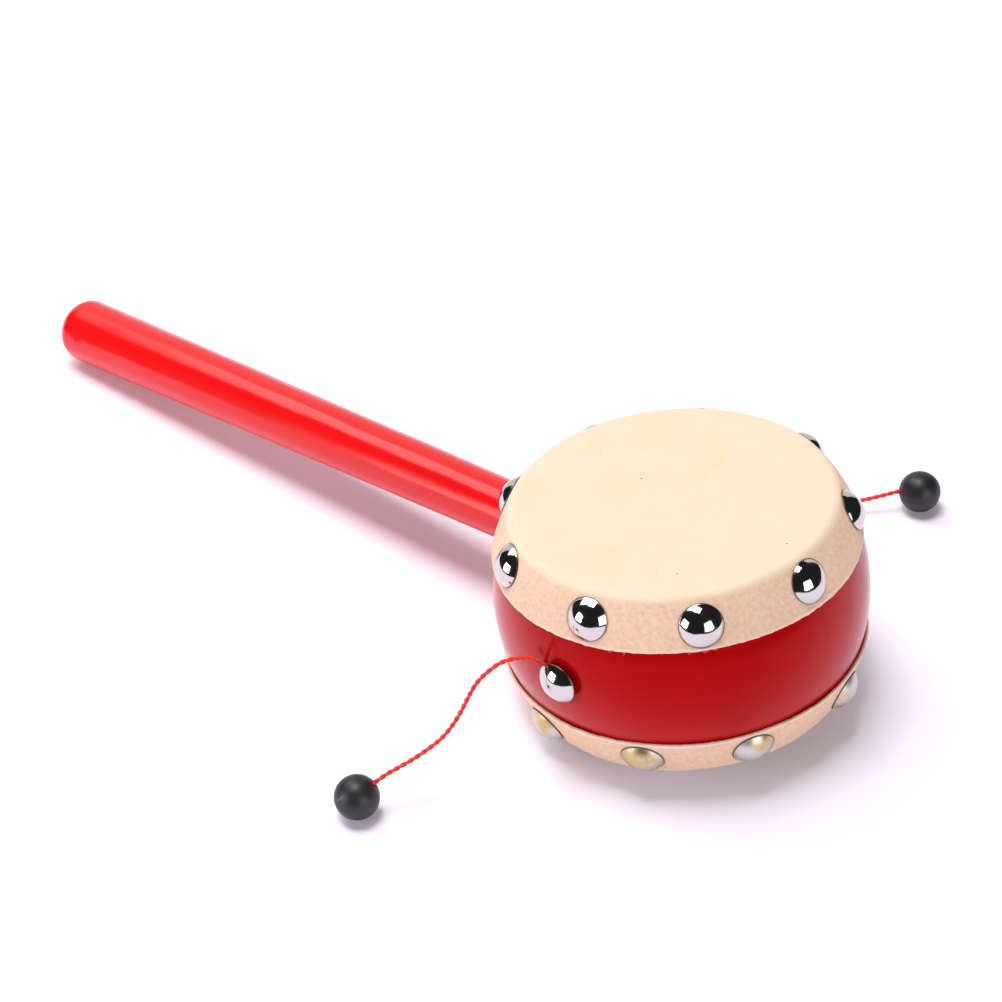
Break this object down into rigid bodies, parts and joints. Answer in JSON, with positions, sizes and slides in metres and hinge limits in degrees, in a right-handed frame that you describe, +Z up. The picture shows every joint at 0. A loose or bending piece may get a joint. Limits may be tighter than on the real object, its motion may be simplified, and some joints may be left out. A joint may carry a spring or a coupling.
{
  "type": "pellet drum rattle",
  "caption": "Small two-headed wooden hand drum on a turned handle, with corded beads that swing and strike its hide heads when the handle is twirled.",
  "frame": {"origin": "centre of the lower head's flat outer face, where the drum lies on a table", "axes": "+Z up from the table the toy lies on, handle towards -X, left bead towards -Y; the drum's own axis leans 5.2 degrees from +Z in the XZ plane, because the toy rests on the lower head's fold and the handle's free end"},
  "size_m": [0.299, 0.2071, 0.064],
  "materials": {
    "band_lacquer": "satin",
    "handle_lacquer": "gloss",
    "hide": "matte",
    "tack_nickel": "polished",
    "red_string": "matte",
    "black_bead": "matte"
  },
  "bodies": {
    "drum": {"drum_shell": "band_lacquer", "top_head": "hide", "bottom_head": "hide", "top_tack_1": "tack_nickel", "top_tack_2": "tack_nickel", "top_tack_3": "tack_nickel", "top_tack_4": "tack_nickel", "top_tack_5": "tack_nickel", "top_tack_6": "tack_nickel", "top_tack_7": "tack_nickel", "top_tack_8": "tack_nickel", "top_tack_9": "tack_nickel", "bottom_tack_1": "tack_nickel", "bottom_tack_2": "tack_nickel", "bottom_tack_3": "tack_nickel", "bottom_tack_4": "tack_nickel", "bottom_tack_5": "tack_nickel", "bottom_tack_6": "tack_nickel", "bottom_tack_7": "tack_nickel", "bottom_tack_8": "tack_nickel", "bottom_tack_9": "tack_nickel", "left_cord_tack": "tack_nickel", "right_cord_tack": "tack_nickel", "handle": "handle_lacquer", "left_cord_loop": "red_string", "right_cord_loop": "red_string"},
    "left_cord_near": {"left_cord_inner": "red_string"},
    "left_cord_far": {"left_cord_outer": "red_string", "left_knot": "red_string"},
    "left_bead": {"left_bead": "black_bead"},
    "right_cord_near": {"right_cord_inner": "red_string"},
    "right_cord_far": {"right_cord_outer": "red_string", "right_knot": "red_string"},
    "right_bead": {"right_bead": "black_bead"}
  },
  "joints": [
    {"name": "left_cord_swing", "type": "hinge", "parent": "drum", "child": "left_cord_near", "pos_m": [-0.01156, -0.05767, 0.03609], "axis": [-0.8634, 0.5045, 0], "range_deg": [-45, 125]},
    {"name": "left_cord_bend", "type": "hinge", "parent": "left_cord_near", "child": "left_cord_far", "pos_m": [-0.01973, -0.07166, 0.01879], "axis": [-0.8634, 0.5045, 0], "range_deg": [-60, 75]},
    {"name": "left_bead_spin", "type": "hinge", "parent": "left_cord_far", "child": "left_bead", "pos_m": [-0.03325, -0.0948, 0.00219], "axis": [-0.4279, -0.7322, -0.5299], "continuous": true},
    {"name": "right_cord_swing", "type": "hinge", "parent": "drum", "child": "right_cord_near", "pos_m": [0.0031, 0.05572, 0.03329], "axis": [0.9999, -0.0157, 0], "range_deg": [-35, 130]},
    {"name": "right_cord_bend", "type": "hinge", "parent": "right_cord_near", "child": "right_cord_far", "pos_m": [-0.00442, 0.07384, 0.01059], "axis": [0.9999, -0.0157, 0], "range_deg": [-75, 60]},
    {"name": "right_bead_spin", "type": "hinge", "parent": "right_cord_far", "child": "right_bead", "pos_m": [0.0048, 0.1003, 0.00219], "axis": [0.702, 0.7045, -0.1045], "continuous": true}
  ]
}
